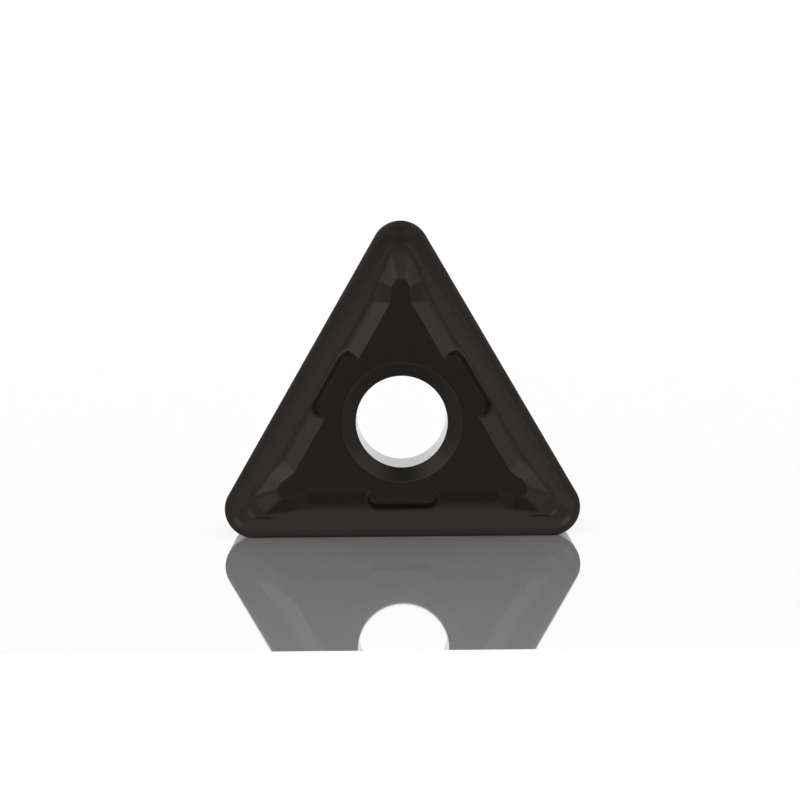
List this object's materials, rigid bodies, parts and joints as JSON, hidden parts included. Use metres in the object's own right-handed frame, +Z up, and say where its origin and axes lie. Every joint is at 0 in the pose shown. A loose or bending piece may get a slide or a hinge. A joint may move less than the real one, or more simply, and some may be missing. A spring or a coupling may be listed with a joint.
{
  "type": "carbide turning insert",
  "caption": "Triangular turning insert in black coated carbide, double sided, with a pressed chip breaker, rounded cutting corners and a countersunk clamping bore.",
  "frame": {"origin": "centre of the bore at mid thickness", "axes": "+X along the long flank that the insert stands on, +Y along the bore, +Z up through the top corner"},
  "size_m": [0.0148, 0.0048, 0.0131],
  "materials": {
    "coated_carbide": "black oxide-ceramic coating on sintered carbide: satin on the pressed chip breaker, smoother on the ground seats"
  },
  "bodies": {
    "root": {"insert": "coated_carbide"}
  },
  "joints": []
}
